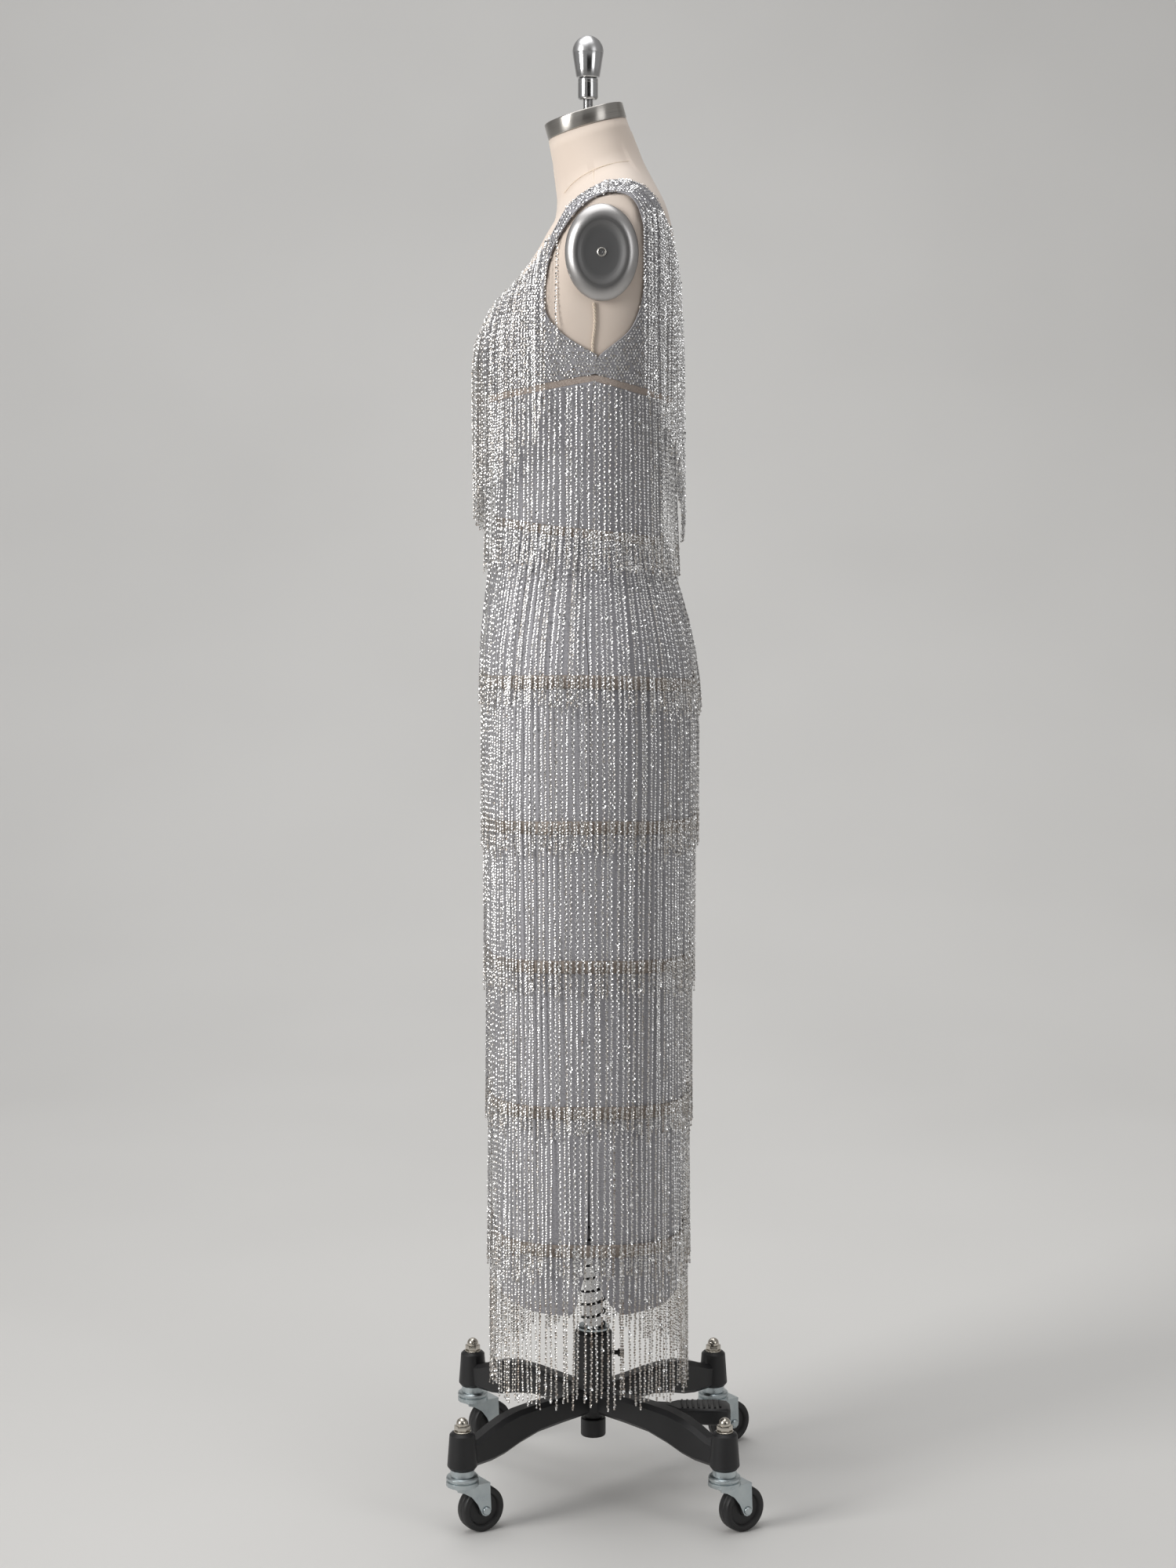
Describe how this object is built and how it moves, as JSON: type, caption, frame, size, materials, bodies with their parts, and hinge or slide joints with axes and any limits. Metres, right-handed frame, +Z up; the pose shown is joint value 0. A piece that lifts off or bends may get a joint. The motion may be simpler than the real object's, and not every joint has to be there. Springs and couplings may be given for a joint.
{
  "type": "fringed maxi dress on a dress form stand",
  "caption": "Floor-length sleeveless dress with tiers of hanging fringe, worn by a limbless dress form that turns and rises on a rolling castor stand.",
  "frame": {"origin": "centre of the footprint, on the floor that the castor wheels stand on", "axes": "+Z up, the dress faces -Y, the wearer's left side is +X"},
  "size_m": [0.368, 0.3721, 1.737],
  "materials": {
    "sequin_knit": "cool grey knit with small flat silver sequins",
    "mesh_tape": "sheer nude mesh tape",
    "sequin_fringe": "strands of bright silver cup sequins",
    "form_jersey": "matt cream jersey stretched over the form",
    "brushed_steel": "spun and brushed",
    "polished_metal": "polished",
    "black_iron": "black satin coating on iron",
    "nickel": "nickel plated brass",
    "zinc": "bright zinc plate on pressed steel",
    "black_rubber": "hard black rubber"
  },
  "bodies": {
    "stand": {"base_casting": "black_iron", "hub_cap": "black_iron", "lower_tube": "polished_metal", "pole_coil": "black_iron", "acorn_nut_front_left": "nickel", "acorn_nut_front_right": "nickel", "acorn_nut_back_left": "nickel", "acorn_nut_back_right": "nickel"},
    "rod": {"telescopic_rod": "polished_metal"},
    "form": {"dress_form_torso": "form_jersey", "neck_cap": "brushed_steel", "knob_sleeve": "polished_metal", "neck_knob": "polished_metal", "arm_plate_left": "brushed_steel", "arm_plate_right": "brushed_steel", "arm_screw_left": "polished_metal", "arm_screw_right": "polished_metal", "underbust_band": "mesh_tape", "bodice_front": "sequin_knit", "bodice_back": "sequin_knit", "midriff_front": "sequin_knit", "midriff_back": "sequin_knit", "skirt_front": "sequin_knit", "skirt_back": "sequin_knit", "fringe_neck_front": "sequin_fringe", "fringe_neck_back": "sequin_fringe", "fringe_underbust": "sequin_fringe", "fringe_tier_1": "sequin_fringe", "fringe_tier_2": "sequin_fringe", "fringe_tier_3": "sequin_fringe", "fringe_tier_4": "sequin_fringe", "fringe_tier_5": "sequin_fringe", "fringe_tier_6": "sequin_fringe"},
    "thumbscrew": {"height_thumbscrew": "black_iron"},
    "pedal": {"foot_pedal": "black_iron"},
    "fork_front_left": {"castor_fork_front_left": "zinc", "castor_axle_front_left": "zinc"},
    "wheel_front_left": {"castor_wheel_front_left": "black_rubber"},
    "fork_front_right": {"castor_fork_front_right": "zinc", "castor_axle_front_right": "zinc"},
    "wheel_front_right": {"castor_wheel_front_right": "black_rubber"},
    "fork_back_left": {"castor_fork_back_left": "zinc", "castor_axle_back_left": "zinc"},
    "wheel_back_left": {"castor_wheel_back_left": "black_rubber"},
    "fork_back_right": {"castor_fork_back_right": "zinc", "castor_axle_back_right": "zinc"},
    "wheel_back_right": {"castor_wheel_back_right": "black_rubber"}
  },
  "joints": [
    {"name": "height_slide", "type": "slide", "parent": "stand", "child": "rod", "axis": [0, 0, 1], "range_m": [0, 0.2]},
    {"name": "form_turn", "type": "hinge", "parent": "rod", "child": "form", "pos_m": [0, -0.015, 0.88], "axis": [0, 0, 1], "continuous": true},
    {"name": "thumbscrew_turn", "type": "hinge", "parent": "stand", "child": "thumbscrew", "pos_m": [0, 0.0081, 0.17], "axis": [0, 1, 0], "continuous": true},
    {"name": "pedal_press", "type": "hinge", "parent": "stand", "child": "pedal", "pos_m": [0, 0.018, 0.1], "axis": [-1, 0, 0], "range_deg": [0, 10], "stiffness_Nm_per_rad": 3, "springref_deg": -28.65},
    {"name": "swivel_front_left", "type": "hinge", "parent": "stand", "child": "fork_front_left", "pos_m": [0.153, -0.168, 0.065], "axis": [0, 0, 1], "continuous": true},
    {"name": "roll_front_left", "type": "hinge", "parent": "fork_front_left", "child": "wheel_front_left", "pos_m": [0.13966, -0.14745, 0.02727], "axis": [-0.8387, -0.5446, 0], "continuous": true},
    {"name": "swivel_front_right", "type": "hinge", "parent": "stand", "child": "fork_front_right", "pos_m": [-0.153, -0.168, 0.065], "axis": [0, 0, 1], "continuous": true},
    {"name": "roll_front_right", "type": "hinge", "parent": "fork_front_right", "child": "wheel_front_right", "pos_m": [-0.16634, -0.14745, 0.02727], "axis": [-0.8387, -0.5446, 0], "continuous": true},
    {"name": "swivel_back_left", "type": "hinge", "parent": "stand", "child": "fork_back_left", "pos_m": [0.153, 0.138, 0.065], "axis": [0, 0, 1], "continuous": true},
    {"name": "roll_back_left", "type": "hinge", "parent": "fork_back_left", "child": "wheel_back_left", "pos_m": [0.13966, 0.15855, 0.02727], "axis": [-0.8387, -0.5446, 0], "continuous": true},
    {"name": "swivel_back_right", "type": "hinge", "parent": "stand", "child": "fork_back_right", "pos_m": [-0.153, 0.138, 0.065], "axis": [0, 0, 1], "continuous": true},
    {"name": "roll_back_right", "type": "hinge", "parent": "fork_back_right", "child": "wheel_back_right", "pos_m": [-0.16634, 0.15855, 0.02727], "axis": [-0.8387, -0.5446, 0], "continuous": true}
  ]
}
